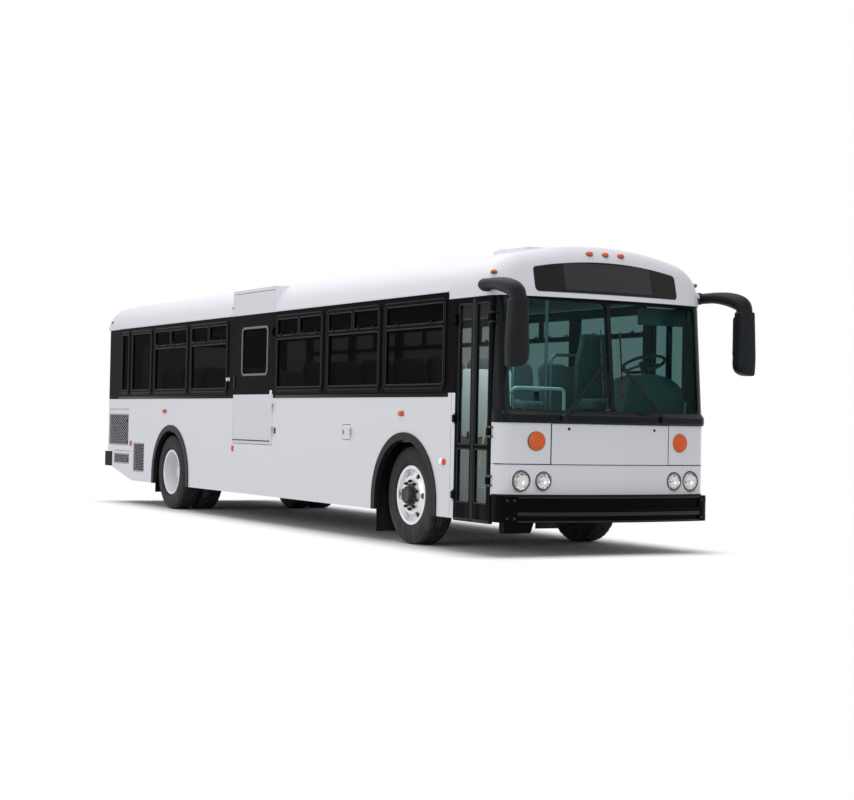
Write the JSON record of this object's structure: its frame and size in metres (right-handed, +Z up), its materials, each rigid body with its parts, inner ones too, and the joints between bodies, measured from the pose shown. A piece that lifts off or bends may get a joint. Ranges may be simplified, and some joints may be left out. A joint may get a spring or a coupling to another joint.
{
  "type": "school bus",
  "caption": "Flat-fronted white bus body on a ladder frame with a rear engine, dark window band, twin-leaf entry door, wheelchair lift door, drop-arm mirrors and benches inside.",
  "frame": {"origin": "on the ground under the middle of the overall box", "axes": "+X forward, +Y to the driver's side, +Z up"},
  "size_m": [11.921, 2.84, 3.082],
  "materials": {
    "white_paint": "gloss",
    "black_paint": "satin",
    "side_glass": "tinted",
    "front_glass": "tinted green",
    "sign_black": "gloss",
    "bumper_rubber": "matt",
    "black_plastic": "matt",
    "mirror_shell": "matt",
    "lamp_clear": "clear lens",
    "lamp_amber": "lens",
    "lamp_red": "lens",
    "frame_steel": "satin",
    "floor_sheet": "ribbed sheet",
    "step_steel": "satin",
    "cast_steel": "rough",
    "wheel_alloy": "polished",
    "wheel_white": "gloss",
    "tyre": "rubber",
    "seat_cover": "vinyl",
    "dash_plastic": "grained",
    "rail_steel": "brushed",
    "grille_black": "matt"
  },
  "bodies": {
    "body": {"floor": "floor_sheet", "stepwell": "step_steel", "chassis_frame": "frame_steel", "tow_eyes": "cast_steel", "side_panel_right": "white_paint", "side_panel_left": "white_paint", "window_bands": "black_paint", "window_sashes": "black_paint", "window_glass": "side_glass", "roof": "white_paint", "front_cap": "white_paint", "rear_cap": "white_paint", "rear_wall": "white_paint", "front_fascia": "white_paint", "access_panel": "white_paint", "windshield_frame": "black_paint", "windshield_glass": "front_glass", "sign_glass": "sign_black", "bumpers": "bumper_rubber", "mirrors": "mirror_shell", "headlamps": "lamp_clear", "amber_lamps": "lamp_amber", "red_lamps": "lamp_red", "wipers": "black_plastic", "grilles": "grille_black", "engine": "cast_steel", "fuel_tank": "frame_steel", "front_axle": "cast_steel", "rear_axle": "cast_steel", "seats": "seat_cover", "seat_frames": "frame_steel", "driver_seat": "seat_cover", "dashboard": "dash_plastic", "steering_wheel": "dash_plastic", "handrails": "rail_steel", "arch_flares": "bumper_rubber", "mud_flaps": "bumper_rubber"},
    "entry_leaf_front": {"entry_door_front": "black_paint", "entry_door_front_glass": "front_glass"},
    "entry_leaf_rear": {"entry_door_rear": "black_paint", "entry_door_rear_glass": "front_glass"},
    "lift_door": {"lift_door": "black_paint", "lift_door_glass": "side_glass"},
    "engine_door": {"engine_door": "white_paint"},
    "fuel_lid": {"fuel_lid": "white_paint"},
    "roof_hatch": {"roof_hatch": "white_paint"},
    "knuckle_left": {"knuckle_left": "cast_steel"},
    "knuckle_right": {"knuckle_right": "cast_steel"},
    "front_wheel_left": {"wheel_front_left": "wheel_alloy", "tyre_front_left": "tyre"},
    "front_wheel_right": {"wheel_front_right": "wheel_alloy", "tyre_front_right": "tyre"},
    "rear_wheels_left": {"wheels_rear_left": "wheel_white", "tyres_rear_left": "tyre"},
    "rear_wheels_right": {"wheels_rear_right": "wheel_white", "tyres_rear_right": "tyre"}
  },
  "joints": [
    {"name": "steer_left", "type": "hinge", "parent": "body", "child": "knuckle_left", "pos_m": [3.58, 0.8, 0.505], "axis": [0, 0, 1], "range_deg": [-40, 40]},
    {"name": "steer_right", "type": "hinge", "parent": "body", "child": "knuckle_right", "pos_m": [3.58, -0.8, 0.505], "axis": [0, 0, 1], "range_deg": [-40, 40]},
    {"name": "front_wheel_left_spin", "type": "hinge", "parent": "knuckle_left", "child": "front_wheel_left", "pos_m": [3.58, 1.007, 0.505], "axis": [0, 1, 0], "continuous": true},
    {"name": "front_wheel_right_spin", "type": "hinge", "parent": "knuckle_right", "child": "front_wheel_right", "pos_m": [3.58, -1.007, 0.505], "axis": [0, 1, 0], "continuous": true},
    {"name": "rear_wheels_left_spin", "type": "hinge", "parent": "body", "child": "rear_wheels_left", "pos_m": [-3.25, 1.051, 0.505], "axis": [0, 1, 0], "continuous": true},
    {"name": "rear_wheels_right_spin", "type": "hinge", "parent": "body", "child": "rear_wheels_right", "pos_m": [-3.25, -1.051, 0.505], "axis": [0, 1, 0], "continuous": true},
    {"name": "entry_front", "type": "hinge", "parent": "body", "child": "entry_leaf_front", "pos_m": [5.297, -1.237, 1.3], "axis": [0, 0, 1], "range_deg": [0, 90]},
    {"name": "entry_rear", "type": "hinge", "parent": "body", "child": "entry_leaf_rear", "pos_m": [4.613, -1.237, 1.3], "axis": [0, 0, -1], "range_deg": [0, 90]},
    {"name": "lift_swing", "type": "hinge", "parent": "body", "child": "lift_door", "pos_m": [0.237, -1.237, 1.8], "axis": [0, 0, 1], "range_deg": [0, 165]},
    {"name": "engine_swing", "type": "hinge", "parent": "body", "child": "engine_door", "pos_m": [-5.918, 0, 1.472], "axis": [0, 1, 0], "range_deg": [0, 80]},
    {"name": "fuel_swing", "type": "hinge", "parent": "body", "child": "fuel_lid", "pos_m": [2.345, -1.237, 1.133], "axis": [0, 0, 1], "range_deg": [0, 110]},
    {"name": "hatch_swing", "type": "hinge", "parent": "body", "child": "roof_hatch", "pos_m": [3.79, 0, 3.069], "axis": [0, -1, 0], "range_deg": [0, 80]}
  ],
  "couplings": [
    {"joint": "steer_right", "follows": "steer_left", "ratio": 1},
    {"joint": "entry_rear", "follows": "entry_front", "ratio": 1}
  ]
}
